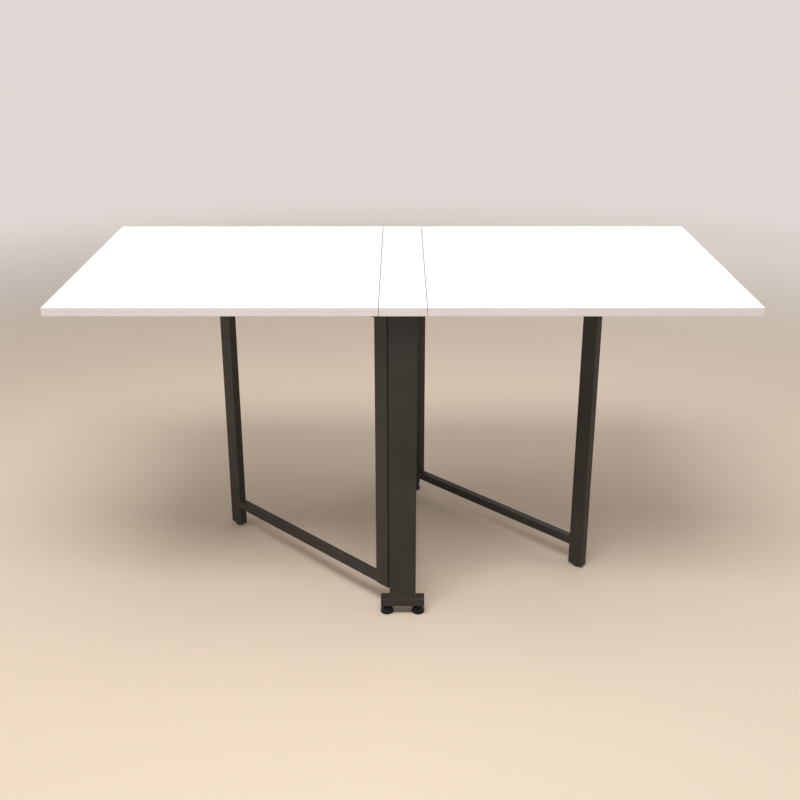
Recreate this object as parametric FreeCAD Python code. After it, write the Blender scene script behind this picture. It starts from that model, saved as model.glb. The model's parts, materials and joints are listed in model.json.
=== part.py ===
import FreeCAD, Part
import math
import os

# Gateleg table: a narrow fixed centre on two posts, a leaf hinged to each long side of it, and a
# gate under each leaf that swings out of the centre frame to hold the leaf up. Millimetres.
# X runs along the opened table, Y across it, Z up. The origin is on the floor under the centre.
# The rear post and everything on the right are the front post and the left turned half round Z.

# ---- driving dimensions ----------------------------------------------------------------------
TABLE_HEIGHT = 750.0
TOP_WIDTH = 735.0           # across the table, along Y
CENTRE_BOARD_WIDTH = 100.0  # along X
LEAF_WIDTH = 691.0          # along X
BOARD_THICKNESS = 18.0
SEAM = 1.0                  # gap between the centre board and a leaf
EDGE_BAND = 1.0
EDGE_ROUND = 0.5

POST_WIDTH = 60.0
POST_DEPTH = 28.0
POST_INSET = 30.0           # from the end of the top to the outer face of a post
TUBE_WALL = 1.5
TUBE_CORNER = 2.0

FOOT_BAR_LENGTH = 100.0
FOOT_BAR_HEIGHT = 20.0
FOOT_HEIGHT = 21.0          # from the floor to the underside of a foot bar
FOOT_INSET = 14.0           # from the end of a foot bar to the middle of a foot
CAP_FLANGE = 2.0
CAP_INSERT = 3.0

STRETCHER_WIDTH = 20.0
STRETCHER_HEIGHT = 30.0
LOWER_STRETCHER_BASE = 90.0
MOUNTING_PLATE = 3.0
MOUNTING_PLATE_LENGTH = 90.0
MOUNTING_PLATE_MARGIN = 10.0

STILE_WIDTH = 40.0
LEG_WIDTH = 40.0
GATE_THICKNESS = 20.0
RAIL_HEIGHT = 20.0
GATE_BASE = 55.0            # from the floor to the stile and the bottom rail
LEAF_GAP = 10.0             # between the top of a gate and the leaf above it
GATE_END_GAP = 17.0         # between a closed gate and the far post
GATE_SIDE_GAP = 1.0         # between a closed gate and the side plane of the posts
OPEN_ANGLE = 44.7

BRACKET_THICKNESS = 2.5
BRACKET_WEB = 2.5           # steel left around a pivot
BRACKET_STRETCHER_GAP = 2.0
PIVOT_RADIUS = 4.0
PIVOT_HEAD_RADIUS = 6.5
PIVOT_HEAD = 3.0
BUSH_FLANGE = 1.0
BUSH_DEPTH = 18.0
BUSH_MARGIN = 1.0
UPPER_BUSH_GAP = 0.5

FOOT_PLUG_HEIGHT = 8.0      # from the floor to the lower end of a gate's leg
FOOT_PLUG_FLANGE = 1.5
FOOT_PLUG_INSET = 0.5       # of the round foot from the faces of the leg
PLUG_DEPTH = 18.0
PLUG_CHAMFER = 1.5

PAD_RADIUS = 15.0
PAD_HEIGHT = 17.5
PAD_RIM = 4.0               # height where the dome starts
PAD_CROWN_RADIUS = 8.0      # of the flat on top of the dome
PAD_SOLE = 1.5
STUD_RADIUS = 4.0
STUD_SEAT = 6.0             # height of the stud's lower end inside the pad
STUD_LENGTH = 30.0
WELD_NUT_FLATS = 13.0
WELD_NUT_HEIGHT = 6.5

HINGE_LENGTH = 100.0
HINGE_PLATE = 1.4
HINGE_PLATE_WIDTH = 26.0
KNUCKLE_RADIUS = 3.0
KNUCKLES = 5
KNUCKLE_GAP = 0.4
HINGE_PIN_RADIUS = 1.5
HINGE_FROM_PIVOT = 110.0    # along Y, from a gate's pivot to the middle of the nearest hinge
HINGE_SCREW_SPACING = 35.0

SCREW_RADIUS = 1.75
SCREW_BITE = 12.0           # how far a wood screw goes into a board
SCREW_HEAD_RADIUS = 3.5
SCREW_HEAD = 2.0

STOP_LENGTH = 60.0
STOP_WIDTH = 18.0
STOP_THICKNESS = 14.0
STOP_GAP = 0.3
STOP_SCREW_SPACING = 36.0

RUNNING_FIT = 0.06          # radial clearance of a turning pin
LOOSE_FIT = 0.25            # radial clearance of a screw or stud through sheet metal
PRESSED_FIT = 0.02          # radial clearance of a pin fixed in its plate
INSERT_FIT = 0.1            # around a plastic insert in a tube

# ---- places that follow from them --------------------------------------------------------------
BOARD_BASE = TABLE_HEIGHT - BOARD_THICKNESS
FOOT_BAR_TOP = FOOT_HEIGHT + FOOT_BAR_HEIGHT
POST_TOP = BOARD_BASE - MOUNTING_PLATE
POST_OUTER_Y = TOP_WIDTH / 2 - POST_INSET
POST_INNER_Y = POST_OUTER_Y - POST_DEPTH
POST_MIDDLE_Y = POST_OUTER_Y - POST_DEPTH / 2
GATE_TOP = BOARD_BASE - LEAF_GAP
PIVOT_X = -(POST_WIDTH / 2 + GATE_SIDE_GAP + GATE_THICKNESS / 2)
PIVOT_Y = -POST_INNER_Y + STILE_WIDTH / 2
GATE_REACH = 2 * POST_INNER_Y - STILE_WIDTH / 2 - GATE_END_GAP
LOWER_BRACKET_TOP = GATE_BASE - BUSH_FLANGE
UPPER_BRACKET_BASE = GATE_TOP + BUSH_FLANGE + UPPER_BUSH_GAP
JOINT_X = CENTRE_BOARD_WIDTH / 2 + SEAM / 2
HINGE_Y = -PIVOT_Y - HINGE_FROM_PIVOT
HINGE_AXIS_Z = BOARD_BASE - KNUCKLE_RADIUS
FOOT_X = FOOT_BAR_LENGTH / 2 - FOOT_INSET
Z = FreeCAD.Vector(0, 0, 1)


# ---- plain shapes ------------------------------------------------------------------------------
def block(low, high):
    size = [b - a for a, b in zip(low, high)]
    return Part.makeBox(*size, FreeCAD.Vector(*low))


def rod(radius, low_z, high_z, x=0.0, y=0.0):
    return Part.makeCylinder(radius, high_z - low_z, FreeCAD.Vector(x, y, low_z))


def rod_along_y(radius, low_y, high_y, x, z):
    return Part.makeCylinder(radius, high_y - low_y, FreeCAD.Vector(x, low_y, z), FreeCAD.Vector(0, 1, 0))


def upright_bar(width, depth, low_z, high_z, corner):
    """A solid bar along Z, centred on the Z axis, with its four long edges rounded."""
    bar = block((-width / 2, -depth / 2, low_z), (width / 2, depth / 2, high_z))
    upright = [e for e in bar.Edges if abs(e.BoundBox.ZLength - (high_z - low_z)) < 1e-6]
    return bar.makeFillet(corner, upright)


def tube(width, depth, low_z, high_z):
    """A welded rectangular tube along Z, open at both ends."""
    inner_corner = TUBE_CORNER - TUBE_WALL
    hollow_width = width - 2 * TUBE_WALL
    hollow_depth = depth - 2 * TUBE_WALL
    hollow = upright_bar(hollow_width, hollow_depth, low_z - 1, high_z + 1, inner_corner)
    return upright_bar(width, depth, low_z, high_z, TUBE_CORNER).cut(hollow)


def lay_along_y(shape):
    """Turns a bar built up Z so that it runs along +Y; its depth then stands up Z."""
    shape.rotate(FreeCAD.Vector(0, 0, 0), FreeCAD.Vector(1, 0, 0), -90)
    return shape


def lay_along_x(shape):
    """Turns a bar built up Z so that it runs along +X; its width then stands up Z."""
    shape.rotate(FreeCAD.Vector(0, 0, 0), FreeCAD.Vector(0, 1, 0), 90)
    return shape


def moved(shape, x=0.0, y=0.0, z=0.0):
    copy = shape.copy()
    copy.translate(FreeCAD.Vector(x, y, z))
    return copy


def half_turn(shape):
    """The same piece at the other end or on the other side of the table."""
    copy = shape.copy()
    copy.rotate(FreeCAD.Vector(0, 0, 0), Z, 180)
    return copy


def tube_insert(width, depth, low_z, high_z):
    """The part of a plastic plug that sits inside a tube."""
    shrink = 2 * (TUBE_WALL + INSERT_FIT)
    return upright_bar(width - shrink, depth - shrink, low_z, high_z, TUBE_CORNER - TUBE_WALL)


def pan_screw(x, y, seat_z, grip):
    """A wood screw driven upwards; its head is under seat_z and grip is what it clamps."""
    head = rod(SCREW_HEAD_RADIUS, seat_z - SCREW_HEAD, seat_z, x, y)
    rim = [e for e in head.Edges if abs(e.BoundBox.ZMax - (seat_z - SCREW_HEAD)) < 1e-6]
    head = head.makeFillet(SCREW_HEAD / 2, rim)
    return head.fuse(rod(SCREW_RADIUS, seat_z, seat_z + grip + SCREW_BITE, x, y))


def screw_hole(x, y, low_z, high_z, clearance):
    return rod(SCREW_RADIUS + clearance, low_z, high_z, x, y)


# ---- where the screws go -----------------------------------------------------------------------
def mounting_screw_places():
    reach_x = (POST_WIDTH / 2 + MOUNTING_PLATE_LENGTH / 2) / 2
    reach_y = POST_DEPTH / 2 + MOUNTING_PLATE_MARGIN - SCREW_HEAD_RADIUS * 2
    return [
        (side * reach_x, end * (POST_MIDDLE_Y + row * reach_y))
        for end in (-1, 1)
        for row in (-1, 1)
        for side in (-1, 1)
    ]


def hinge_screw_places(x):
    return [
        (x, end * HINGE_Y + row * HINGE_SCREW_SPACING)
        for end in (-1, 1)
        for row in (-1, 0, 1)
    ]


def plate_middle(side):
    """X of the screw line of the hinge plates on the left joint; side is 1 inwards, -1 outwards."""
    return -JOINT_X + side * (KNUCKLE_RADIUS + KNUCKLE_GAP + HINGE_PLATE_WIDTH / 2)


def gate_place(shape):
    """Puts a piece of a gate, built along +Y from the pivot, where the open left gate has it."""
    copy = shape.copy()
    copy.rotate(FreeCAD.Vector(0, 0, 0), Z, OPEN_ANGLE)
    copy.translate(FreeCAD.Vector(PIVOT_X, PIVOT_Y, 0))
    return copy


def gate_point(along, outward):
    """X and Y of a point on the open left gate: along it from the pivot, and out from its face."""
    angle = math.radians(OPEN_ANGLE)
    x = PIVOT_X - along * math.sin(angle) - outward * math.cos(angle)
    y = PIVOT_Y + along * math.cos(angle) - outward * math.sin(angle)
    return x, y


def stop_screw_places():
    middle = GATE_REACH - LEG_WIDTH / 2
    outward = GATE_THICKNESS / 2 + STOP_GAP + STOP_WIDTH / 2
    return [gate_point(middle + side * STOP_SCREW_SPACING / 2, outward) for side in (-1, 1)]


# ---- boards ------------------------------------------------------------------------------------
def board_and_band(low_x, high_x, screw_places):
    """A chipboard core with blind pilot holes below, and the band glued around its four edges."""
    half = TOP_WIDTH / 2
    outer = block((low_x, -half, BOARD_BASE), (high_x, half, TABLE_HEIGHT))
    band_outside = outer.makeFillet(EDGE_ROUND, outer.Edges)
    core = block(
        (low_x + EDGE_BAND, -half + EDGE_BAND, BOARD_BASE),
        (high_x - EDGE_BAND, half - EDGE_BAND, TABLE_HEIGHT),
    )
    band = band_outside.cut(core)
    depth = SCREW_BITE + LOOSE_FIT
    holes = [screw_hole(x, y, BOARD_BASE, BOARD_BASE + depth, PRESSED_FIT) for x, y in screw_places]
    return core.cut(Part.makeCompound(holes)), band


def centre_board():
    half = CENTRE_BOARD_WIDTH / 2
    left = hinge_screw_places(plate_middle(1))
    right = [(-x, -y) for x, y in left]
    return board_and_band(-half, half, mounting_screw_places() + left + right)


def left_leaf():
    inner = -CENTRE_BOARD_WIDTH / 2 - SEAM
    places = hinge_screw_places(plate_middle(-1)) + stop_screw_places()
    return board_and_band(inner - LEAF_WIDTH, inner, places)


# ---- centre frame ------------------------------------------------------------------------------
def front_post():
    return moved(tube(POST_WIDTH, POST_DEPTH, FOOT_BAR_TOP, POST_TOP), y=-POST_MIDDLE_Y)


def front_foot_bar():
    """A tube along X, closed by a cap at each end, with a hole below for each foot's stud."""
    half = FOOT_BAR_LENGTH / 2 - CAP_FLANGE
    bar = lay_along_x(tube(FOOT_BAR_HEIGHT, POST_DEPTH, -half, half))
    bar = moved(bar, y=-POST_MIDDLE_Y, z=FOOT_HEIGHT + FOOT_BAR_HEIGHT / 2)
    for side in (-1, 1):
        hole = rod(STUD_RADIUS + LOOSE_FIT, FOOT_HEIGHT - 1, FOOT_HEIGHT + 2 * TUBE_WALL)
        bar = bar.cut(moved(hole, side * FOOT_X, -POST_MIDDLE_Y))
    return bar


def front_end_caps():
    caps = []
    for side in (-1, 1):
        end = FOOT_BAR_LENGTH / 2
        flange = upright_bar(FOOT_BAR_HEIGHT, POST_DEPTH, end - CAP_FLANGE, end, TUBE_CORNER)
        insert = tube_insert(FOOT_BAR_HEIGHT, POST_DEPTH, end - CAP_FLANGE - CAP_INSERT, end - CAP_FLANGE)
        cap = lay_along_x(flange.fuse(insert).removeSplitter())
        if side < 0:
            cap = half_turn(cap)
        caps.append(moved(cap, y=-POST_MIDDLE_Y, z=FOOT_HEIGHT + FOOT_BAR_HEIGHT / 2))
    return caps


def front_weld_nuts():
    nuts = []
    base = FOOT_HEIGHT + TUBE_WALL
    corner_radius = WELD_NUT_FLATS / math.sqrt(3)
    turns = [math.radians(a) for a in range(0, 361, 60)]
    corners = [
        FreeCAD.Vector(corner_radius * math.cos(a), corner_radius * math.sin(a), base) for a in turns
    ]
    hexagon = Part.Face(Part.makePolygon(corners)).extrude(FreeCAD.Vector(0, 0, WELD_NUT_HEIGHT))
    nut = hexagon.cut(rod(STUD_RADIUS + RUNNING_FIT, base - 1, base + WELD_NUT_HEIGHT + 1))
    for side in (-1, 1):
        nuts.append(moved(nut, x=side * FOOT_X, y=-POST_MIDDLE_Y))
    return nuts


def stretcher(base):
    bar = lay_along_y(tube(STRETCHER_WIDTH, STRETCHER_HEIGHT, -POST_INNER_Y, POST_INNER_Y))
    return moved(bar, z=base + STRETCHER_HEIGHT / 2)


def front_mounting_plate():
    """The plate on top of a post, screwed up into the centre board."""
    depth = POST_DEPTH + 2 * MOUNTING_PLATE_MARGIN
    plate = upright_bar(MOUNTING_PLATE_LENGTH, depth, POST_TOP, BOARD_BASE, MOUNTING_PLATE)
    plate = moved(plate, y=-POST_MIDDLE_Y)
    holes = [
        screw_hole(x, y, POST_TOP - 1, BOARD_BASE + 1, LOOSE_FIT)
        for x, y in mounting_screw_places()
        if y < 0
    ]
    return plate.cut(Part.makeCompound(holes))


def front_bracket(base):
    """A flat tongue welded to the back of the front post, with the gate's pivot at its round end."""
    top = base + BRACKET_THICKNESS
    radius = PIVOT_RADIUS + BRACKET_WEB
    inner_x = -(STRETCHER_WIDTH / 2 + BRACKET_STRETCHER_GAP)
    outer_x = -(POST_WIDTH / 2 - TUBE_WALL)
    round_end = rod(radius, base, top, PIVOT_X, PIVOT_Y)
    arm = block((PIVOT_X, PIVOT_Y - radius, base), (inner_x, PIVOT_Y + radius, top))
    root = block((outer_x, -POST_INNER_Y, base), (inner_x, PIVOT_Y + radius, top))
    hole = rod(PIVOT_RADIUS + PRESSED_FIT, base - 1, top + 1, PIVOT_X, PIVOT_Y)
    return round_end.fuse([arm, root]).removeSplitter().cut(hole)


def front_lower_pin():
    """Fixed in the lower bracket and flush with its underside."""
    base = LOWER_BRACKET_TOP - BRACKET_THICKNESS
    return rod(PIVOT_RADIUS, base, GATE_BASE + BUSH_DEPTH - PIVOT_RADIUS, PIVOT_X, PIVOT_Y)


def front_upper_bolt():
    """A low-headed bolt that drops through the upper bracket into the gate's bush."""
    seat = UPPER_BRACKET_BASE + BRACKET_THICKNESS
    head = rod(PIVOT_HEAD_RADIUS, seat, seat + PIVOT_HEAD, PIVOT_X, PIVOT_Y)
    rim = [e for e in head.Edges if abs(e.BoundBox.ZMin - (seat + PIVOT_HEAD)) < 1e-6]
    head = head.makeFillet(PIVOT_HEAD / 3, rim)
    return head.fuse(rod(PIVOT_RADIUS, GATE_TOP - BUSH_DEPTH + PIVOT_RADIUS, seat, PIVOT_X, PIVOT_Y))


# ---- leaf hinges -------------------------------------------------------------------------------
def knuckle_span(index, middle_y):
    pitch = HINGE_LENGTH / KNUCKLES
    low = middle_y - HINGE_LENGTH / 2 + index * pitch
    return low + KNUCKLE_GAP / 2, low + pitch - KNUCKLE_GAP / 2


def hinge_half(side, middle_y):
    """Half of a butt hinge of the left joint: side 1 is under the centre board, -1 under the leaf."""
    first = 0 if side > 0 else 1
    clear = KNUCKLE_RADIUS + KNUCKLE_GAP
    plate_base = BOARD_BASE - HINGE_PLATE
    near = -JOINT_X + side * clear
    far = near + side * HINGE_PLATE_WIDTH
    half = block(
        (min(near, far), middle_y - HINGE_LENGTH / 2, plate_base),
        (max(near, far), middle_y + HINGE_LENGTH / 2, BOARD_BASE),
    )
    web_low_x, web_high_x = sorted((near, -JOINT_X))
    for index in range(first, KNUCKLES, 2):
        low, high = knuckle_span(index, middle_y)
        knuckle = rod_along_y(KNUCKLE_RADIUS, low, high, -JOINT_X, HINGE_AXIS_Z)
        web = block((web_low_x, low, plate_base), (web_high_x, high, BOARD_BASE))
        half = half.fuse([knuckle, web])
    long_bore = rod_along_y(
        HINGE_PIN_RADIUS + RUNNING_FIT,
        middle_y - HINGE_LENGTH,
        middle_y + HINGE_LENGTH,
        -JOINT_X,
        HINGE_AXIS_Z,
    )
    half = half.removeSplitter().cut(long_bore)
    for x, y in hinge_screw_places(plate_middle(side)):
        if abs(y - middle_y) < HINGE_LENGTH / 2:
            half = half.cut(screw_hole(x, y, plate_base - 1, BOARD_BASE + 1, LOOSE_FIT))
    return half


def left_hinge_pins():
    half = HINGE_LENGTH / 2
    return [
        rod_along_y(HINGE_PIN_RADIUS, end * HINGE_Y - half, end * HINGE_Y + half, -JOINT_X, HINGE_AXIS_Z)
        for end in (-1, 1)
    ]


def screws_in(places, seat_z, grip):
    return [pan_screw(x, y, seat_z, grip) for x, y in places]


def centre_board_screws():
    plate_base = BOARD_BASE - HINGE_PLATE
    left = screws_in(hinge_screw_places(plate_middle(1)), plate_base, HINGE_PLATE)
    right = [half_turn(s) for s in left]
    return left + right + screws_in(mounting_screw_places(), POST_TOP, MOUNTING_PLATE)


def left_leaf_screws():
    plate_base = BOARD_BASE - HINGE_PLATE
    stop_base = BOARD_BASE - STOP_THICKNESS
    screws = screws_in(hinge_screw_places(plate_middle(-1)), plate_base, HINGE_PLATE)
    return screws + screws_in(stop_screw_places(), stop_base, STOP_THICKNESS)


def left_stop_block():
    """Fixed under the leaf where the open gate's leg comes to rest against it."""
    middle = GATE_REACH - LEG_WIDTH / 2
    near = GATE_THICKNESS / 2 + STOP_GAP
    stop = upright_bar(STOP_WIDTH, STOP_LENGTH, BOARD_BASE - STOP_THICKNESS, BOARD_BASE, STOP_WIDTH / 6)
    stop = gate_place(moved(stop, x=-(near + STOP_WIDTH / 2), y=middle))
    for x, y in stop_screw_places():
        stop = stop.cut(screw_hole(x, y, BOARD_BASE - STOP_THICKNESS - 1, BOARD_BASE + 1, LOOSE_FIT))
    return stop


# ---- gates -------------------------------------------------------------------------------------
def gate_stile():
    return gate_place(tube(GATE_THICKNESS, STILE_WIDTH, GATE_BASE, GATE_TOP))


def gate_leg():
    leg = tube(GATE_THICKNESS, LEG_WIDTH, FOOT_PLUG_HEIGHT, GATE_TOP)
    return gate_place(moved(leg, y=GATE_REACH - LEG_WIDTH / 2))


def gate_rail(base):
    rail = lay_along_y(tube(GATE_THICKNESS, RAIL_HEIGHT, STILE_WIDTH / 2, GATE_REACH - LEG_WIDTH))
    return gate_place(moved(rail, z=base + RAIL_HEIGHT / 2))


def gate_bush(end_z, direction):
    """A nylon bush in one end of the stile; direction is 1 at the top and -1 at the bottom."""
    flange_z = sorted((end_z, end_z + direction * BUSH_FLANGE))
    insert_z = sorted((end_z, end_z - direction * BUSH_DEPTH))
    width = GATE_THICKNESS - 2 * BUSH_MARGIN
    length = STILE_WIDTH - 2 * BUSH_MARGIN
    flange = upright_bar(width, length, flange_z[0], flange_z[1], TUBE_CORNER)
    insert = tube_insert(GATE_THICKNESS, STILE_WIDTH, insert_z[0], insert_z[1])
    bore = rod(PIVOT_RADIUS + RUNNING_FIT, insert_z[0] - BUSH_DEPTH, insert_z[1] + BUSH_DEPTH)
    return gate_place(flange.fuse(insert).cut(bore))


def gate_foot_plug():
    """The plastic plug that the leg stands on: a round foot under a flange that closes the tube."""
    flange_base = FOOT_PLUG_HEIGHT - FOOT_PLUG_FLANGE
    foot = rod(GATE_THICKNESS / 2 - FOOT_PLUG_INSET, 0, flange_base)
    sole = [e for e in foot.Edges if e.BoundBox.ZMax < 1e-6]
    foot = foot.makeChamfer(PLUG_CHAMFER, sole)
    flange = upright_bar(GATE_THICKNESS, LEG_WIDTH, flange_base, FOOT_PLUG_HEIGHT, TUBE_CORNER)
    insert = tube_insert(GATE_THICKNESS, LEG_WIDTH, FOOT_PLUG_HEIGHT, FOOT_PLUG_HEIGHT + PLUG_DEPTH)
    plug = foot.fuse([flange, insert]).removeSplitter()
    return gate_place(moved(plug, y=GATE_REACH - LEG_WIDTH / 2))


def gate_support_pad():
    """The plastic pad on top of the leg that the leaf rests on."""
    pad = upright_bar(GATE_THICKNESS, LEG_WIDTH, GATE_TOP, BOARD_BASE, TUBE_CORNER)
    crown = [e for e in pad.Edges if e.BoundBox.ZMin > BOARD_BASE - 1e-6]
    pad = pad.makeFillet(PLUG_CHAMFER, crown)
    insert = tube_insert(GATE_THICKNESS, LEG_WIDTH, GATE_TOP - PLUG_DEPTH, GATE_TOP)
    return gate_place(moved(pad.fuse(insert), y=GATE_REACH - LEG_WIDTH / 2))


# ---- levelling feet ----------------------------------------------------------------------------
def foot_pad(x, y):
    """A glossy dome that rises upright from its rim, hollow for the lower end of its stud."""
    rise = PAD_HEIGHT - PAD_RIM
    shrink = PAD_RADIUS - PAD_CROWN_RADIUS
    dome_radius = (shrink ** 2 + rise ** 2) / (2 * shrink)
    half_way = math.asin(rise / dome_radius) / 2
    rim = FreeCAD.Vector(PAD_RADIUS, 0, PAD_RIM)
    crown = FreeCAD.Vector(PAD_CROWN_RADIUS, 0, PAD_HEIGHT)
    bulge = FreeCAD.Vector(
        PAD_RADIUS - dome_radius * (1 - math.cos(half_way)),
        0,
        PAD_RIM + dome_radius * math.sin(half_way),
    )
    base = FreeCAD.Vector(0, 0, 0)
    corner = FreeCAD.Vector(PAD_RADIUS, 0, 0)
    top = FreeCAD.Vector(0, 0, PAD_HEIGHT)
    outline = [
        Part.makeLine(base, corner),
        Part.makeLine(corner, rim),
        Part.Arc(rim, bulge, crown).toShape(),
        Part.makeLine(crown, top),
        Part.makeLine(top, base),
    ]
    pad = Part.Face(Part.Wire(outline)).revolve(base, Z, 360)
    sole = [e for e in pad.Edges if e.BoundBox.ZMax < 1e-6 and e.BoundBox.XMax > PAD_RADIUS - 1e-6]
    pad = pad.makeFillet(PAD_SOLE, sole)
    pad = pad.cut(rod(STUD_RADIUS + PRESSED_FIT, STUD_SEAT, PAD_HEIGHT + 1))
    return moved(pad, x, y)


def foot_stud(x, y):
    return rod(STUD_RADIUS, STUD_SEAT, STUD_SEAT + STUD_LENGTH, x, y)


# ---- the whole table ---------------------------------------------------------------------------
def centre_pieces():
    board, band = centre_board()
    one_end = {
        "post": front_post(),
        "foot_bar": front_foot_bar(),
        "lower_pivot_bracket": front_bracket(LOWER_BRACKET_TOP - BRACKET_THICKNESS),
        "upper_pivot_bracket": front_bracket(UPPER_BRACKET_BASE),
    }
    pieces = {
        "centre_board": board,
        "centre_board_edge_band": band,
        "lower_stretcher": stretcher(LOWER_STRETCHER_BASE),
        "upper_stretcher": stretcher(POST_TOP - STRETCHER_HEIGHT),
        "centre_board_screws": centre_board_screws(),
    }
    for name, shape in one_end.items():
        pieces["front_" + name] = shape
        pieces["rear_" + name] = half_turn(shape)
    groups = {
        "mounting_plates": [front_mounting_plate()],
        "lower_pivot_pins": [front_lower_pin()],
        "upper_pivot_bolts": [front_upper_bolt()],
        "foot_bar_end_caps": front_end_caps(),
        "foot_bar_weld_nuts": front_weld_nuts(),
        "leaf_hinge_pins": left_hinge_pins(),
    }
    for name, shapes in groups.items():
        pieces[name] = shapes + [half_turn(s) for s in shapes]
    return pieces


def left_pieces():
    """The left leaf and gate, and the left halves of the hinges; the right ones are half turns."""
    board, band = left_leaf()
    return {
        "leaf_board": board,
        "leaf_edge_band": band,
        "leaf_stop_block": left_stop_block(),
        "leaf_screws": left_leaf_screws(),
        "hinge_a_fixed_half": hinge_half(1, -HINGE_Y),
        "hinge_a_moving_half": hinge_half(-1, -HINGE_Y),
        "hinge_b_fixed_half": hinge_half(1, HINGE_Y),
        "hinge_b_moving_half": hinge_half(-1, HINGE_Y),
        "gate_stile": gate_stile(),
        "gate_leg": gate_leg(),
        "gate_top_rail": gate_rail(GATE_TOP - RAIL_HEIGHT),
        "gate_bottom_rail": gate_rail(GATE_BASE),
        "gate_lower_bush": gate_bush(GATE_BASE, -1),
        "gate_upper_bush": gate_bush(GATE_TOP, 1),
        "gate_foot_plug": gate_foot_plug(),
        "gate_support_pad": gate_support_pad(),
    }


def foot_pieces():
    pieces = {}
    for end_name, end in (("front", -1), ("rear", 1)):
        for side_name, side in (("left", -1), ("right", 1)):
            x, y = side * FOOT_X, end * POST_MIDDLE_Y
            pieces[f"{end_name}_{side_name}_foot_pad"] = foot_pad(x, y)
            pieces[f"{end_name}_{side_name}_foot_stud"] = foot_stud(x, y)
    return pieces


def all_pieces():
    pieces = centre_pieces()
    for name, shape in left_pieces().items():
        pieces["left_" + name] = shape
        if isinstance(shape, list):
            pieces["right_" + name] = [half_turn(s) for s in shape]
        else:
            pieces["right_" + name] = half_turn(shape)
    pieces.update(foot_pieces())
    return pieces


def main():
    os.makedirs("parts", exist_ok=True)
    for name, shape in sorted(all_pieces().items()):
        whole = Part.makeCompound(shape) if isinstance(shape, list) else shape
        whole.exportStep(f"parts/{name}.step")
        print(f"{name}: {len(whole.Solids)} solid, {whole.Volume / 1000:.1f} cm3")


main()
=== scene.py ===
# %% [markdown]
# # A gateleg table
# A narrow fixed centre stands on two posts. A wide leaf is hinged to each long side of it, and a
# gate under each leaf swings out to hold it up. The joiner's and the welder's work is already
# measured and fixed in the CAD frame, so this lesson adds what a maker's hands and machines leave
# behind: coated steel, weld beads, laminate, moulded plastic, rolled hinges and cut threads.

# %% Load the frame
import json
import math

import bmesh
import bpy
from mathutils import Matrix, Vector


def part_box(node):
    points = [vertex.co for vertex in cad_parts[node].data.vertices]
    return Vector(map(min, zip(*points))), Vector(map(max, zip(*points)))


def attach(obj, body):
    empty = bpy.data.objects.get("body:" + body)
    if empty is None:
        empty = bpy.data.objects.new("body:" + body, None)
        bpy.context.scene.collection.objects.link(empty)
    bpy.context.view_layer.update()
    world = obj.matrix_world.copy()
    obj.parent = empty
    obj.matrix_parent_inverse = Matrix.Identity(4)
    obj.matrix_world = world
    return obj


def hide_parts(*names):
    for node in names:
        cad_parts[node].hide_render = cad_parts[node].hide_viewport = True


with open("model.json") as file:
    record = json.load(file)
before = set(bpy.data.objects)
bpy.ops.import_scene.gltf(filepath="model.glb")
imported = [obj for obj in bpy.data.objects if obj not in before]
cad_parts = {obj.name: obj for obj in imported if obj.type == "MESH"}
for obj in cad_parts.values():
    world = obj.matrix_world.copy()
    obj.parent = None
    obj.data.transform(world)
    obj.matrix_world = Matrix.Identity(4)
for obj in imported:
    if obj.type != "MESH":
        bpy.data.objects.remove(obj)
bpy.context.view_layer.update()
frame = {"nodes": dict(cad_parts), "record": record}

nodes = frame["nodes"]

# %% [markdown]
# ## Units and measuring
# The frame is in metres, and a maker thinks in millimetres, so sizes below are written as a number
# times MM. Nothing is placed by eye. A place is read from the CAD piece that holds it, and a node
# that is a group, such as a set of screws, is taken apart into its separate solids first.

# %% Measure the pieces
MM = 0.001


def solids_of(node_name):
    """The lowest and highest corner of each separate solid in a CAD node, in metres."""
    mesh = nodes[node_name].data
    place_of = [tuple(round(c / (0.001 * MM)) for c in v.co) for v in mesh.vertices]
    group = {place: place for place in place_of}

    def root(place):
        while group[place] != place:
            group[place] = group[group[place]]
            place = group[place]
        return place

    for face in mesh.polygons:
        first, *others = (place_of[i] for i in face.vertices)
        for other in others:
            group[root(other)] = root(first)
    corners = {}
    for vertex, place in zip(mesh.vertices, place_of):
        low, high = corners.setdefault(root(place), (vertex.co.copy(), vertex.co.copy()))
        for axis in range(3):
            low[axis] = min(low[axis], vertex.co[axis])
            high[axis] = max(high[axis], vertex.co[axis])
    return sorted(corners.values(), key=lambda box: tuple(box[0]))


def middle(box):
    return (box[0] + box[1]) / 2


table_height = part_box("centre_board")[1].z
print("table height (mm):", round(table_height / MM))
print("screws in the centre:", len(solids_of("centre_board_screws")))

# %% [markdown]
# ## Camera
# A long standard lens at standing height looks slightly down on the front post, which puts both
# leaves in view and keeps the upright posts nearly parallel. Aiming level would show the
# underside instead of the top, and a wide lens would stretch the near edge.

# %% Set the camera
LENS = 50.6
CAMERA_PLACE = Vector((-6.0, -2573.8, 1428.4)) * MM
LOOK_DOWN = math.radians(21.77)

camera = bpy.data.objects.new("camera", bpy.data.cameras.new("camera"))
camera.data.lens = LENS
camera.data.sensor_width = 36.0
camera.location = CAMERA_PLACE
camera.rotation_euler = (math.pi / 2 - LOOK_DOWN, 0, 0)
bpy.context.scene.collection.objects.link(camera)
bpy.context.scene.camera = camera
print("camera looks down", round(math.degrees(LOOK_DOWN), 1), "degrees")

# %% [markdown]
# ## Studio
# White laminate has to read as white and the dark frame still has to show its faces, so the light
# is a big soft panel overhead, a steep one in front and a calm room all round. The steep panel lets
# the board shade the top of the post. Two warm panels at the sides reach the outer faces of the
# legs, while the top shades the inner faces. A small low panel puts a spark on the glossy feet, and
# a cool one behind parts the dark frame from the room. One hard lamp would hide all that in a sharp
# shadow. The floor is a plain pale disc that fades into a pale wall's light, so that no edge shows.

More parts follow.
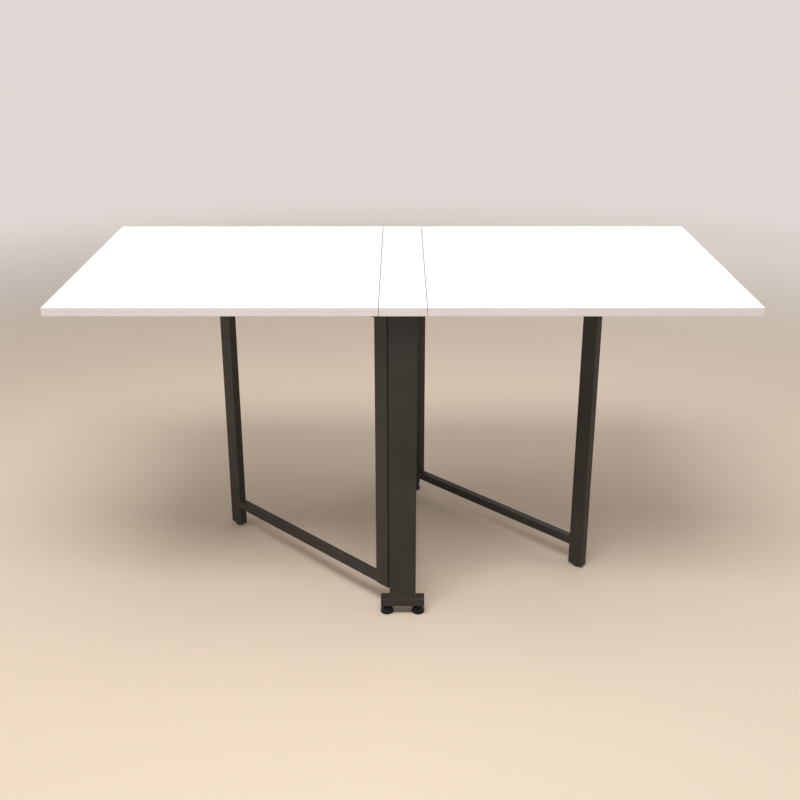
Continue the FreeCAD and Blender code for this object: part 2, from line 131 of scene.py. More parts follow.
# %% Light the studio
FLOOR_COLOUR = (0.60, 0.515, 0.425, 1)
FLOOR_RADIUS = 60.0
FLOOR_SIDES = 96
FLOOR_FADE = (1.6, 4.6)
ROOM_COLOUR = (1.0, 0.93, 0.89)
WALL_STRENGTH = 0.74
CEILING_STRENGTH = 0.2
CEILING_FADE = (0.06, 0.6)
WARM = (1.0, 0.84, 0.66)
COOL = (0.93, 0.97, 1.0)


def soft_panel(name, place, target, size, power, colour):
    panel = bpy.data.lights.new(name, "AREA")
    panel.shape = "RECTANGLE"
    panel.size, panel.size_y = size
    panel.energy = power
    panel.color = colour
    holder = bpy.data.objects.new(name, panel)
    holder.location = place
    holder.rotation_euler = (Vector(target) - Vector(place)).to_track_quat("-Z", "Y").to_euler()
    bpy.context.scene.collection.objects.link(holder)
    return holder


def pale_floor():
    shape = bmesh.new()
    bmesh.ops.create_circle(shape, cap_ends=True, segments=FLOOR_SIDES, radius=FLOOR_RADIUS)
    mesh = bpy.data.meshes.new("floor")
    shape.to_mesh(mesh)
    shape.free()
    floor = bpy.data.objects.new("floor", mesh)
    bpy.context.scene.collection.objects.link(floor)
    mesh.materials.append(floor_paint())
    return floor


def floor_paint():
    """Plain paint that turns into the pale wall's own light between the two fade distances."""
    paint = bpy.data.materials.new("floor_paint")
    paint.use_nodes = True
    tree = paint.node_tree
    shader = tree.nodes["Principled BSDF"]
    shader.inputs["Base Color"].default_value = FLOOR_COLOUR
    shader.inputs["Roughness"].default_value = 0.75
    place = tree.nodes.new("ShaderNodeTexCoord")
    distance = tree.nodes.new("ShaderNodeVectorMath")
    distance.operation = "LENGTH"
    tree.links.new(place.outputs["Object"], distance.inputs[0])
    fade = tree.nodes.new("ShaderNodeMapRange")
    fade.interpolation_type = "SMOOTHSTEP"
    fade.inputs["From Min"].default_value = FLOOR_FADE[0]
    fade.inputs["From Max"].default_value = FLOOR_FADE[1]
    tree.links.new(distance.outputs["Value"], fade.inputs["Value"])
    glow = tree.nodes.new("ShaderNodeEmission")
    glow.inputs["Color"].default_value = (*ROOM_COLOUR, 1)
    glow.inputs["Strength"].default_value = WALL_STRENGTH
    mix = tree.nodes.new("ShaderNodeMixShader")
    tree.links.new(fade.outputs["Result"], mix.inputs["Fac"])
    tree.links.new(shader.outputs["BSDF"], mix.inputs[1])
    tree.links.new(glow.outputs["Emission"], mix.inputs[2])
    tree.links.new(mix.outputs["Shader"], tree.nodes["Material Output"].inputs["Surface"])
    return paint


def calm_room():
    """Light from all round, as pale as the wall at the horizon and dimmer towards the ceiling."""
    world = bpy.data.worlds.new("room")
    world.use_nodes = True
    tree = world.node_tree
    background = tree.nodes["Background"]
    background.inputs["Color"].default_value = (*ROOM_COLOUR, 1)
    direction = tree.nodes.new("ShaderNodeTexCoord")
    height = tree.nodes.new("ShaderNodeSeparateXYZ")
    tree.links.new(direction.outputs["Generated"], height.inputs["Vector"])
    fade = tree.nodes.new("ShaderNodeMapRange")
    fade.interpolation_type = "SMOOTHSTEP"
    fade.inputs["From Min"].default_value = CEILING_FADE[0]
    fade.inputs["From Max"].default_value = CEILING_FADE[1]
    fade.inputs["To Min"].default_value = WALL_STRENGTH
    fade.inputs["To Max"].default_value = CEILING_STRENGTH
    tree.links.new(height.outputs["Z"], fade.inputs["Value"])
    tree.links.new(fade.outputs["Result"], background.inputs["Strength"])
    bpy.context.scene.world = world


pale_floor()
calm_room()
soft_panel("overhead_panel", (0.1, 0.2, 3.0), (0, 0, 0.75), (3.2, 2.4), 40, (1.0, 0.985, 0.97))
soft_panel("front_panel", (-0.3, -1.6, 3.4), (0, -0.4, 0.4), (2.2, 1.2), 105, (1.0, 0.975, 0.965))
soft_panel("left_panel", (-3.4, -0.6, 1.9), (-0.4, -0.1, 0.35), (1.6, 2.4), 24, WARM)
soft_panel("right_panel", (3.4, -0.6, 1.9), (0.4, -0.1, 0.35), (1.6, 2.4), 20, WARM)
soft_panel("low_panel", (-0.8, -3.3, 1.05), (0, -0.3, 0.1), (0.6, 0.35), 5, (1.0, 1.0, 1.0))
soft_panel("rear_panel", (1.8, 3.4, 0.9), (0, 0, 0.3), (2.4, 1.0), 12, COOL)
bpy.context.scene.view_settings.view_transform = "Standard"

# %% [markdown]
# ## A kit for finishes
# Every finish here is a small tree of shader nodes: a pattern in the piece's own coordinates,
# remapped to a colour, a roughness or a bump. Painting pictures would need unwrapped pieces and
# would blur close up, but a pattern keeps its true size in millimetres on every piece. These
# helpers each add one such step, so that the recipes below stay short enough to read.

# %% Helpers for shader nodes
def new_finish(name):
    """An empty material with one Principled shader. Returns the material, its tree and the shader."""
    finish = bpy.data.materials.new(name)
    finish.use_nodes = True
    tree = finish.node_tree
    tree.nodes.clear()
    shader = tree.nodes.new("ShaderNodeBsdfPrincipled")
    output = tree.nodes.new("ShaderNodeOutputMaterial")
    tree.links.new(shader.outputs["BSDF"], output.inputs["Surface"])
    return finish, tree, shader


def feed(tree, socket, value):
    """Links a socket to another, or sets it to a plain value."""
    if isinstance(value, bpy.types.NodeSocket):
        tree.links.new(value, socket)
    else:
        socket.default_value = value


def own_place(tree, stretch=(1, 1, 1)):
    """The piece's own coordinates, with each axis multiplied by stretch."""
    place = tree.nodes.new("ShaderNodeTexCoord")
    mapping = tree.nodes.new("ShaderNodeMapping")
    mapping.inputs["Scale"].default_value = stretch
    tree.links.new(place.outputs["Object"], mapping.inputs["Vector"])
    return mapping.outputs["Vector"]


def mottle(tree, grain, detail=3.0, stretch=(1, 1, 1)):
    """A soft noise from 0 to 1 whose blotches are about grain metres across."""
    noise = tree.nodes.new("ShaderNodeTexNoise")
    tree.links.new(own_place(tree, stretch), noise.inputs["Vector"])
    noise.inputs["Scale"].default_value = 1 / grain
    noise.inputs["Detail"].default_value = detail
    return noise.outputs["Fac"]


def pebbles(tree, grain):
    """Rounded cells about grain metres across: 0 at each middle, rising to the borders."""
    cells = tree.nodes.new("ShaderNodeTexVoronoi")
    tree.links.new(own_place(tree), cells.inputs["Vector"])
    cells.inputs["Scale"].default_value = 1 / grain
    return cells.outputs["Distance"]


def remap(tree, value, from_low, from_high, to_low, to_high):
    ramp = tree.nodes.new("ShaderNodeMapRange")
    feed(tree, ramp.inputs["Value"], value)
    for name, number in zip(
        ("From Min", "From Max", "To Min", "To Max"), (from_low, from_high, to_low, to_high)
    ):
        ramp.inputs[name].default_value = number
    return ramp.outputs["Result"]


def arithmetic(tree, operation, first, second):
    step = tree.nodes.new("ShaderNodeMath")
    step.operation = operation
    step.use_clamp = True
    feed(tree, step.inputs[0], first)
    feed(tree, step.inputs[1], second)
    return step.outputs["Value"]


def blend_colours(tree, amount, first, second):
    mix = tree.nodes.new("ShaderNodeMix")
    mix.data_type = "RGBA"
    feed(tree, mix.inputs["Factor"], amount)
    feed(tree, mix.inputs["A"], first)
    feed(tree, mix.inputs["B"], second)
    return mix.outputs["Result"]


def raise_surface(tree, height, depth, under=None):
    """A bump of that depth in metres, on top of another bump if one is given."""
    bump = tree.nodes.new("ShaderNodeBump")
    bump.inputs["Distance"].default_value = depth
    feed(tree, bump.inputs["Height"], height)
    if under is not None:
        tree.links.new(under, bump.inputs["Normal"])
    return bump.outputs["Normal"]


def rubbed_edges(tree, width, grain):
    """1 along worn edges and 0 on the flats. The edge shows where a rounded normal leaves the true one."""
    rounded = tree.nodes.new("ShaderNodeBevel")
    rounded.samples = 6
    rounded.inputs["Radius"].default_value = width
    surface = tree.nodes.new("ShaderNodeNewGeometry")
    agreement = tree.nodes.new("ShaderNodeVectorMath")
    agreement.operation = "DOT_PRODUCT"
    tree.links.new(rounded.outputs["Normal"], agreement.inputs[0])
    tree.links.new(surface.outputs["Normal"], agreement.inputs[1])
    edge = remap(tree, agreement.outputs["Value"], 0.985, 0.86, 0.0, 1.0)
    patchy = remap(tree, mottle(tree, grain), 0.42, 0.62, 0.0, 1.0)
    return arithmetic(tree, "MULTIPLY", edge, patchy)


print("finish helpers are ready")

# %% [markdown]
# ## Charcoal powder coat
# The steel is sprayed with dry powder and baked, which leaves a warm, almost black skin with a very
# fine orange peel. It gathers thinner over edges, so those look a little paler and smoother. Two
# bumps do this: a pebbled one for the melted grains, and a slow one for the peel.

# %% Mix the powder coat
COAT_DARK = (0.0222, 0.0196, 0.0170, 1)
COAT_LIGHT = (0.0300, 0.0266, 0.0232, 1)
COAT_EDGE = (0.066, 0.059, 0.051, 1)


def powder_coat():
    finish, tree, shader = new_finish("charcoal_powder_coat")
    cloud = remap(tree, mottle(tree, 90 * MM, 4), 0.35, 0.65, 0.0, 1.0)
    speck = remap(tree, mottle(tree, 0.9 * MM, 2), 0.40, 0.70, 0.0, 0.55)
    body = blend_colours(tree, arithmetic(tree, "ADD", cloud, speck), COAT_DARK, COAT_LIGHT)
    edge = rubbed_edges(tree, 1.4 * MM, 7 * MM)
    feed(tree, shader.inputs["Base Color"], blend_colours(tree, edge, body, COAT_EDGE))
    satin = remap(tree, mottle(tree, 30 * MM, 3), 0.3, 0.7, 0.36, 0.47)
    feed(tree, shader.inputs["Roughness"], satin)
    peel = raise_surface(tree, mottle(tree, 3.2 * MM, 2), 0.05 * MM)
    feed(tree, shader.inputs["Normal"], raise_surface(tree, pebbles(tree, 0.7 * MM), 0.03 * MM, peel))
    shader.inputs["Specular IOR Level"].default_value = 0.28
    return finish


finishes = {"charcoal_powder_coat": powder_coat()}
print("mixed:", list(finishes))

# %% [markdown]
# ## White laminate
# Both faces of each board are melamine pressed on a polished steel sheet: a hard, even white with a
# satin sheen and a faint pearl texture. It has almost no colour change, so its life is in the gloss.
# Wiping and handling leave slow patches that are a little duller, with hair-thin marks in them.

# %% Press the laminate
LAMINATE_WHITE = (0.80, 0.798, 0.79, 1)
LAMINATE_WARM = (0.775, 0.77, 0.758, 1)


def laminate():
    finish, tree, shader = new_finish("white_laminate")
    drift = remap(tree, mottle(tree, 260 * MM, 3), 0.35, 0.65, 0.0, 1.0)
    fleck = remap(tree, mottle(tree, 1.6 * MM, 2), 0.55, 0.75, 0.0, 0.5)
    tone = arithmetic(tree, "ADD", arithmetic(tree, "MULTIPLY", drift, 0.4), fleck)
    feed(tree, shader.inputs["Base Color"], blend_colours(tree, tone, LAMINATE_WHITE, LAMINATE_WARM))
    wiped = mottle(tree, 120 * MM, 4, stretch=(1.0, 0.35, 1.0))
    marks = remap(tree, mottle(tree, 2.2 * MM, 5, stretch=(1.0, 0.03, 1.0)), 0.60, 0.72, 0.0, 0.07)
    sheen = arithmetic(tree, "ADD", remap(tree, wiped, 0.3, 0.7, 0.30, 0.40), marks)
    feed(tree, shader.inputs["Roughness"], sheen)
    pearl = raise_surface(tree, pebbles(tree, 1.1 * MM), 0.012 * MM)
    feed(tree, shader.inputs["Normal"], pearl)
    return finish


finishes["white_laminate"] = laminate()
print("mixed:", list(finishes))

# %% [markdown]
# ## Edge band
# A thin plastic strip is ironed round each board. It is extruded and then scraped flush, so it has
# faint lines along its length, a slightly warmer tone than the faces and a duller surface. The
# lines run round the board, so the pattern is stretched flat and its layers are stacked up Z.

# %% Extrude the edge band
BAND_PALE = (0.645, 0.610, 0.612, 1)
BAND_DEEP = (0.590, 0.553, 0.553, 1)


def edge_band():
    finish, tree, shader = new_finish("edge_band")
    lines = mottle(tree, 1.5 * MM, 3, stretch=(0.004, 0.004, 1.0))
    cloud = remap(tree, mottle(tree, 45 * MM, 3), 0.35, 0.65, 0.0, 0.35)
    tone = arithmetic(tree, "ADD", remap(tree, lines, 0.38, 0.66, 0.0, 0.65), cloud)
    feed(tree, shader.inputs["Base Color"], blend_colours(tree, tone, BAND_PALE, BAND_DEEP))
    feed(tree, shader.inputs["Roughness"], remap(tree, lines, 0.35, 0.65, 0.42, 0.56))
    scraped = raise_surface(tree, lines, 0.03 * MM)
    feed(tree, shader.inputs["Normal"], raise_surface(tree, pebbles(tree, 0.8 * MM), 0.01 * MM, scraped))
    return finish


finishes["edge_band"] = edge_band()
print("mixed:", list(finishes))

# %% [markdown]
# ## Bright zinc
# Hinges, screws, pins and studs are steel with a thin zinc plate. The plate is bright but not
# polished: it has a fine crystal grain, a cool cast with a trace of straw in places, and it dulls
# where a tool has rubbed. It is the only true metal that shows, so it alone is fully metallic.

# %% Plate the zinc
ZINC_COOL = (0.60, 0.62, 0.64, 1)
ZINC_STRAW = (0.66, 0.61, 0.50, 1)
ZINC_EDGE = (0.74, 0.74, 0.73, 1)


def bright_zinc():
    finish, tree, shader = new_finish("zinc_steel")
    straw = remap(tree, mottle(tree, 11 * MM, 3), 0.50, 0.72, 0.0, 0.7)
    plate = blend_colours(tree, straw, ZINC_COOL, ZINC_STRAW)
    edge = rubbed_edges(tree, 0.4 * MM, 2 * MM)
    feed(tree, shader.inputs["Base Color"], blend_colours(tree, edge, plate, ZINC_EDGE))
    shader.inputs["Metallic"].default_value = 1.0
    crystal = pebbles(tree, 0.5 * MM)
    feed(tree, shader.inputs["Roughness"], remap(tree, crystal, 0.0, 0.8, 0.24, 0.40))
    drawn = raise_surface(tree, mottle(tree, 0.6 * MM, 3, stretch=(1.0, 0.06, 1.0)), 0.012 * MM)
    feed(tree, shader.inputs["Normal"], raise_surface(tree, crystal, 0.006 * MM, drawn))
    return finish


finishes["zinc_steel"] = bright_zinc()
print("mixed:", list(finishes))

# %% [markdown]
# ## Moulded plastics
# Two blacks are moulded. Nylon for the bushes, plugs, pads, caps and stops comes out of a
# spark-worn mould with a fine leathery texture. The glides under the feet are pressed in a polished
# mould, so they are glossy, and their gloss is what a lamp picks out on them. The same recipe makes
# both, with different grain, depth and roughness.

# %% Mould the plastics
NYLON_DARK = (0.014, 0.014, 0.015, 1)
NYLON_PALE = (0.030, 0.030, 0.031, 1)
GLIDE_DARK = (0.004, 0.004, 0.005, 1)
GLIDE_PALE = (0.009, 0.009, 0.010, 1)


def moulded_black(name, dark, pale, grain, depth, dull, shiny, gleam):
    finish, tree, shader = new_finish(name)
    swirl = remap(tree, mottle(tree, 16 * MM, 4), 0.35, 0.7, 0.0, 0.7)
    scuff = rubbed_edges(tree, 0.7 * MM, 3 * MM)
    tone = arithmetic(tree, "MAXIMUM", swirl, scuff)
    feed(tree, shader.inputs["Base Color"], blend_colours(tree, tone, dark, pale))
    feed(tree, shader.inputs["Roughness"], remap(tree, mottle(tree, 6 * MM, 4), 0.3, 0.7, shiny, dull))
    shader.inputs["Specular IOR Level"].default_value = gleam
    skin = raise_surface(tree, pebbles(tree, grain), depth)
    feed(tree, shader.inputs["Normal"], raise_surface(tree, mottle(tree, 5 * grain, 2), depth, skin))
    return finish


finishes["black_nylon"] = moulded_black(
    "black_nylon", NYLON_DARK, NYLON_PALE, 0.45 * MM, 0.03 * MM, 0.58, 0.44, 0.4
)
finishes["glossy_black_plastic"] = moulded_black(
    "glossy_black_plastic", GLIDE_DARK, GLIDE_PALE, 1.4 * MM, 0.004 * MM, 0.20, 0.09, 0.22
)
print("mixed:", list(finishes))

# %% [markdown]
# ## Finishes on the CAD pieces
# Tubes, boards, plates and bushes already have the right shape, so they stay and take a finish by
# their record's slot. A cut or moulded edge is never truly sharp, so those pieces get a small bevel
# as a modifier, which leaves the CAD mesh itself alone. Tubes and boards are rounded already.

# %% Finish the CAD pieces
EDGE_BREAK = {
    "mounting_plates": 0.35 * MM,
    "foot_bar_end_caps": 0.4 * MM,
    "foot_bar_weld_nuts": 0.3 * MM,
    "pivot_bracket": 0.35 * MM,
    "lower_pivot_pins": 0.4 * MM,
    "leaf_hinge_pins": 0.35 * MM,
    "stop_block": 0.5 * MM,
    "foot_plug": 0.25 * MM,
    "bush": 0.2 * MM,
}
SHARP_ANGLE = math.radians(35)


def break_edges(piece, width, steps=2):
    weld = piece.modifiers.new("close_seams", "WELD")
    weld.merge_threshold = 0.002 * MM
    bevel = piece.modifiers.new("break_edges", "BEVEL")
    bevel.width = width
    bevel.segments = steps
    bevel.limit_method = "ANGLE"
    bevel.angle_limit = SHARP_ANGLE
    bevel.harden_normals = True


slot_of = {part["node"]: part["material_slot"] for part in frame["record"]["subparts"]}
for node_name, piece in nodes.items():
    piece.material_slots[0].material = finishes[slot_of[node_name]]
    for words, width in EDGE_BREAK.items():
        if words in node_name:
            break_edges(piece, width)
            break
broken = sum(len(piece.modifiers) > 0 for piece in nodes.values())
print("finished", len(nodes), "CAD pieces, with a broken edge on", broken)

# %% [markdown]
# ## From a shape to a piece
# Each piece from here on is built as points and faces, then handed over in one place. It gets a
# finish, smooth shading that stops at sharp edges, the body it rides on, and the CAD pieces it stands
# for. A hole or a recess is cut by a second shape, and the result is kept as plain faces.

# %% Helpers that hand a shape over
def as_object(name, shape, slot, crease=SHARP_ANGLE):
    """A shape made of faces, as a scene object with its finish and its shading."""
    bmesh.ops.remove_doubles(shape, verts=shape.verts, dist=0.0005 * MM)
    bmesh.ops.recalc_face_normals(shape, faces=shape.faces)
    mesh = bpy.data.meshes.new(name)
    shape.to_mesh(mesh)
    shape.free()
    mesh.materials.append(finishes[slot])
    mesh.shade_smooth()
    mesh.set_sharp_from_angle(angle=crease)
    piece = bpy.data.objects.new(name, mesh)
    bpy.context.scene.collection.objects.link(piece)
    return piece


def hand_over(piece, slot, body, *stands_for):
    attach(piece, body)
    if stands_for:
        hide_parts(*stands_for)
    print(piece.name, "on", body, "with", len(piece.data.vertices), "points")
    return piece


def cut_away(piece, cutter):
    """Takes the cutter's space out of a piece, and removes the cutter."""
    cut = piece.modifiers.new("cut", "BOOLEAN")
    cut.operation = "DIFFERENCE"
    cut.solver = "EXACT"
    cut.object = cutter
    bpy.context.view_layer.update()
    graph = bpy.context.evaluated_depsgraph_get()
    result = bpy.data.meshes.new_from_object(piece.evaluated_get(graph))
    piece.modifiers.clear()
    old = piece.data
    piece.data = result
    result.name = old.name
    bpy.data.meshes.remove(old)
    bpy.data.objects.remove(cutter)


def reach_of(node_name, direction):
    """The lowest and highest reach of a CAD piece along a direction."""
    reaches = [vertex.co.dot(direction) for vertex in nodes[node_name].data.vertices]
    return min(reaches), max(reaches)


print("ready to build pieces")

# %% [markdown]
# ## Turning on a lathe
# Glides, screw heads and bolts are round about an upright axis. An outline of radius and height
# points is spun about that axis, and arcs in the outline make the rounded shoulders. A stack of
# plain cylinders would be quicker, but it would leave out the shoulders that catch the light.

# %% Lathe helpers
def arc(centre, radius, start, end, steps=6):
    """Outline points on an arc; angles in degrees, 0 outwards and 90 up."""
    angles = [math.radians(start + (end - start) * i / steps) for i in range(steps + 1)]
    return [(centre[0] + radius * math.cos(a), centre[1] + radius * math.sin(a)) for a in angles]


def join_rings(shape, rings):
    """Faces between rings of points that follow each other; a ring of one point is a pole."""
    sides = max(len(ring) for ring in rings)
    for lower, upper in zip(rings, rings[1:]):
        for i in range(sides):
            j = (i + 1) % sides
            below = (lower[i % len(lower)], lower[j % len(lower)])
            above = (upper[j % len(upper)], upper[i % len(upper)])
            shape.faces.new(list(dict.fromkeys(below + above)))


def turn_outline(shape, outline, place=(0, 0, 0), sides=48):
    x, y, z = place
    rings = []
    for radius, height in outline:
        count = sides if radius > 0 else 1
        angles = [2 * math.pi * i / count for i in range(count)]
        ring = [(x + radius * math.cos(a), y + radius * math.sin(a), z + height) for a in angles]
        rings.append([shape.verts.new(point) for point in ring])
    join_rings(shape, rings)


print("the lathe is ready")

# %% [markdown]
# ## Glides under the posts
# Each glide is one glossy moulding: a rounded sole, an upright rim, a fine line where the mould
# parted, and a dome that narrows to a flat crown with the stud's hole in it. The gloss shows every
# kink in the dome, so it is one true arc, found from the CAD pad's own width and height.

# %% Turn the glides
GLIDE_RIM = 4 * MM
GLIDE_CROWN = 8 * MM
GLIDE_SOLE = 1.5 * MM
GLIDE_HOLLOW = 0.5 * MM
PARTING_LINE = 0.15 * MM
CROWN_ROUND = 0.7 * MM
STUD_HOLE = 4.02 * MM
STUD_SEAT = 6 * MM
DOME_STEPS = 16


def glide_outline(radius, height):
    rise = height - GLIDE_RIM
    shrink = radius - GLIDE_CROWN
    dome = (shrink**2 + rise**2) / (2 * shrink)
    sweep = math.degrees(math.asin(rise / dome))
    outline = [(0, GLIDE_HOLLOW), (radius * 0.62, GLIDE_HOLLOW), (radius * 0.68, 0)]
    outline += arc((radius - GLIDE_SOLE, GLIDE_SOLE), GLIDE_SOLE, -90, 0)
    outline += [(radius, GLIDE_RIM - PARTING_LINE), (radius - PARTING_LINE, GLIDE_RIM)]
    dome_points = arc((radius - dome, GLIDE_RIM), dome, 0, sweep, DOME_STEPS)[1:-1]
    outline += dome_points
    crown_centre = (GLIDE_CROWN - CROWN_ROUND, height - CROWN_ROUND)
    outline += arc(crown_centre, CROWN_ROUND, sweep, 90)
    chamfer = CROWN_ROUND / 2
    outline += [(STUD_HOLE + chamfer, height), (STUD_HOLE, height - chamfer)]
    outline += [(STUD_HOLE, STUD_SEAT), (0, STUD_SEAT)]
    return outline


FEET = ["front_left", "front_right", "rear_left", "rear_right"]
for foot in FEET:
    low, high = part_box(foot + "_foot_pad")
    glide = bmesh.new()
    outline = glide_outline((high.x - low.x) / 2, high.z - low.z)
    turn_outline(glide, outline, ((low.x + high.x) / 2, (low.y + high.y) / 2, low.z), sides=64)
    piece = as_object(foot + "_glide", glide, "glossy_black_plastic")
    hand_over(piece, "glossy_black_plastic", foot + "_foot", foot + "_foot_pad")

# %% [markdown]
# ## Cutting threads
# A thread is a ridge that climbs one pitch for each turn. Here a cylinder of small faces is pushed
# in and out by how far each point is from the ridge, which keeps the solid closed and lets the ends
# taper away like a cut chamfer. Sweeping a triangle along a helix would leave both ends open.

# %% Thread helper
ROWS_PER_PITCH = 8
RIDGE_SHARPNESS = 3
POINT_BLUNTNESS = 0.04


def cut_thread(shape, place, low, high, core, crest, pitch, tip=0.0, sides=20):
    """A threaded rod from low to high; over the last tip it narrows to a point."""
    rows = max(2, round((high - low) / pitch * ROWS_PER_PITCH))
    chamfer = crest - core
    rings = [[shape.verts.new((place[0], place[1], low))]]
    for row in range(rows + 1):
        height = low + (high - low) * row / rows
        end_room = min(height - low, high - height)
        ring = []
        for side in range(sides):
            angle = 2 * math.pi * side / sides
            phase = ((height - low) / pitch - side / sides) % 1
            ridge = max(0.0, 1 - abs(phase - 0.5) * RIDGE_SHARPNESS)
            radius = core + (crest - core) * ridge
            radius = min(radius, core + end_room) if end_room < chamfer else radius
            if tip:
                radius *= min(1.0, (high - height) / tip + POINT_BLUNTNESS)
            x = place[0] + radius * math.cos(angle)
            y = place[1] + radius * math.sin(angle)
            ring.append(shape.verts.new((x, y, height)))
        rings.append(ring)
    rings.append([shape.verts.new((place[0], place[1], high))])
    join_rings(shape, rings)


print("rows per pitch:", ROWS_PER_PITCH)

# %% [markdown]
# ## Studs of the levelling feet
# An eight millimetre stud screws up into the nut in the foot bar, so that each corner can be
# raised or lowered. Only a few millimetres show at rest, and more when the foot is wound out. The
# crest stays just inside the plain CAD cylinder, so it turns freely in the bar's hole.

# %% Cut the studs
STUD_PITCH = 1.25 * MM
STUD_DEPTH = 0.75 * MM

for foot in FEET:
    low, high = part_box(foot + "_foot_stud")
    radius = (high.x - low.x) / 2
    stud = bmesh.new()
    centre = ((low.x + high.x) / 2, (low.y + high.y) / 2)
    cut_thread(stud, centre, low.z, high.z, radius - STUD_DEPTH, radius - 0.03 * MM, STUD_PITCH, sides=28)
    piece = as_object(foot + "_threaded_stud", stud, "zinc_steel")
    hand_over(piece, "zinc_steel", foot + "_foot", foot + "_foot_stud")

# %% [markdown]
# ## Wood screws
# Every screw is a pan head with a cross recess on a pointed, coarse thread. One head is turned and
# its recess is cut once, because cutting is slow. The head is then copied to each screw's place and
# turned by its own angle, since no two screws stop at the same angle when they are driven.

# %% Make one screw head
import random

HEAD_HEIGHT = 2 * MM
HEAD_RADIUS = 3.5 * MM
RECESS_LENGTH = 3.6 * MM
RECESS_WIDTH = 0.85 * MM
RECESS_DEPTH = 1.25 * MM
CUTTER_LEAD = 0.2 * MM
HEAD_SEAT_BREAK = 0.12 * MM
SCREW_CORE = 1.15 * MM
SCREW_CREST = 1.74 * MM
SCREW_PITCH = 1.9 * MM
SCREW_TIP = 3.5 * MM
SHANK_OVERLAP = 0.1 * MM


def tapered_bar(shape, length, width, depth, angle):
    """A bar that narrows upwards, for one arm of a cross recess; it starts just under the head."""
    turn = Matrix.Rotation(angle, 4, "Z")
    start = -HEAD_HEIGHT - CUTTER_LEAD
    rings = []
    for height, shrink in ((start, 1.15), (start + CUTTER_LEAD + depth, 0.45)):
        half_length = length * shrink / 2
        half_width = width * (0.5 + shrink / 2) / 2
        signs = ((-1, -1), (1, -1), (1, 1), (-1, 1))
        corners = [(half_length * x, half_width * y, height) for x, y in signs]
        rings.append([shape.verts.new(turn @ Vector(corner)) for corner in corners])
    join_rings(shape, rings)
    for ring in rings:
        shape.faces.new(ring)


def pan_head():
    """One head with its face downwards and its seat at height 0."""
    head = bmesh.new()
    edge = HEAD_HEIGHT * 0.62
    outline = [(0, -HEAD_HEIGHT)] + arc((HEAD_RADIUS - edge, edge - HEAD_HEIGHT), edge, -90, 0, 8)
    outline += [(HEAD_RADIUS, -HEAD_SEAT_BREAK), (HEAD_RADIUS - HEAD_SEAT_BREAK, 0), (0, 0)]
    turn_outline(head, outline, sides=36)
    piece = as_object("screw_head", head, "zinc_steel")
    for angle in (0, math.pi / 2):
        arm = bmesh.new()
        tapered_bar(arm, RECESS_LENGTH, RECESS_WIDTH, RECESS_DEPTH, angle)
        cut_away(piece, as_object("recess_cutter", arm, "zinc_steel"))
    return piece


screw_head = pan_head()
print("one screw head has", len(screw_head.data.vertices), "points")

# %% Drive the screws
driver = random.Random(7)


def drive_screws(name, node_name, body):
    group = bmesh.new()
    for low, high in solids_of(node_name):
        seat = Vector(((low.x + high.x) / 2, (low.y + high.y) / 2, low.z + HEAD_HEIGHT))
        start = len(group.verts)
        group.from_mesh(screw_head.data)
        group.verts.ensure_lookup_table()
        stop_angle = driver.uniform(0, math.pi / 2)
        turned = Matrix.Translation(seat) @ Matrix.Rotation(stop_angle, 4, "Z")
        bmesh.ops.transform(group, matrix=turned, verts=group.verts[start:])
        under_head = seat.z - SHANK_OVERLAP
        cut_thread(group, seat, under_head, high.z, SCREW_CORE, SCREW_CREST, SCREW_PITCH, SCREW_TIP, 12)
    piece = as_object(name, group, "zinc_steel")
    hand_over(piece, "zinc_steel", body, node_name)


drive_screws("centre_wood_screws", "centre_board_screws", "centre_frame")
drive_screws("left_leaf_wood_screws", "left_leaf_screws", "left_leaf")
drive_screws("right_leaf_wood_screws", "right_leaf_screws", "right_leaf")
bpy.data.objects.remove(screw_head)

# %% [markdown]
# ## Rolled hinges
# A butt hinge half is one strip of sheet: flat where it is screwed down, then curled round the pin,
# with gaps cut for the other half's knuckles. A tube stuck to a plate would not show the curl's open
# lip. The section is drawn as small cells in a row and repeated along the hinge, the curl's
# cells are left out of the gaps, and only the outside faces of all the cells are kept.

# %% Roll the hinge halves
KNUCKLES = 5
KNUCKLE_GAP = 0.4 * MM
HINGE_SHEET = 1.4 * MM
PIN_CLEARANCE = 0.06 * MM
CURL_START = 90
CURL_END = 372
CURL_STEPS = 22
HINGE_CORNER = 4 * MM
HINGE_EDGE_BREAK = 0.18 * MM
HOLE_ROOM = 0.5 * MM
DRILL_REACH = 5 * MM
CORNER_STEPS = 5


def curl_cells(outer, inner):
    """The curl's section: four corners for each cell, as (out from the pin, up from the pin)."""
    outside = arc((0, 0), outer, CURL_START, CURL_END, CURL_STEPS)
    inside = arc((0, 0), inner, CURL_START, CURL_END, CURL_STEPS)
    return [(outside[i], outside[i + 1], inside[i + 1], inside[i]) for i in range(CURL_STEPS)]


def corner_loss(distance):
    """How much a rounded corner shortens the plate at this distance from its end."""
    if distance >= HINGE_CORNER:
        return 0.0
    return HINGE_CORNER - math.sqrt(HINGE_CORNER**2 - (HINGE_CORNER - max(distance, 0.0)) ** 2)


def hinge_stations(length):
    """Distances along the hinge where its section changes, and the knuckle spans among them."""
    pitch = length / KNUCKLES
    spans = [(i * pitch + KNUCKLE_GAP / 2, (i + 1) * pitch - KNUCKLE_GAP / 2) for i in range(KNUCKLES)]
    corner = [HINGE_CORNER * (1 - math.cos(math.pi / 2 * i / CORNER_STEPS)) for i in range(CORNER_STEPS + 1)]
    stations = {round(value, 7) for span in spans for value in span}
    stations |= {round(value, 7) for value in corner}
    stations |= {round(length - value, 7) for value in corner}
    return sorted(stations), spans


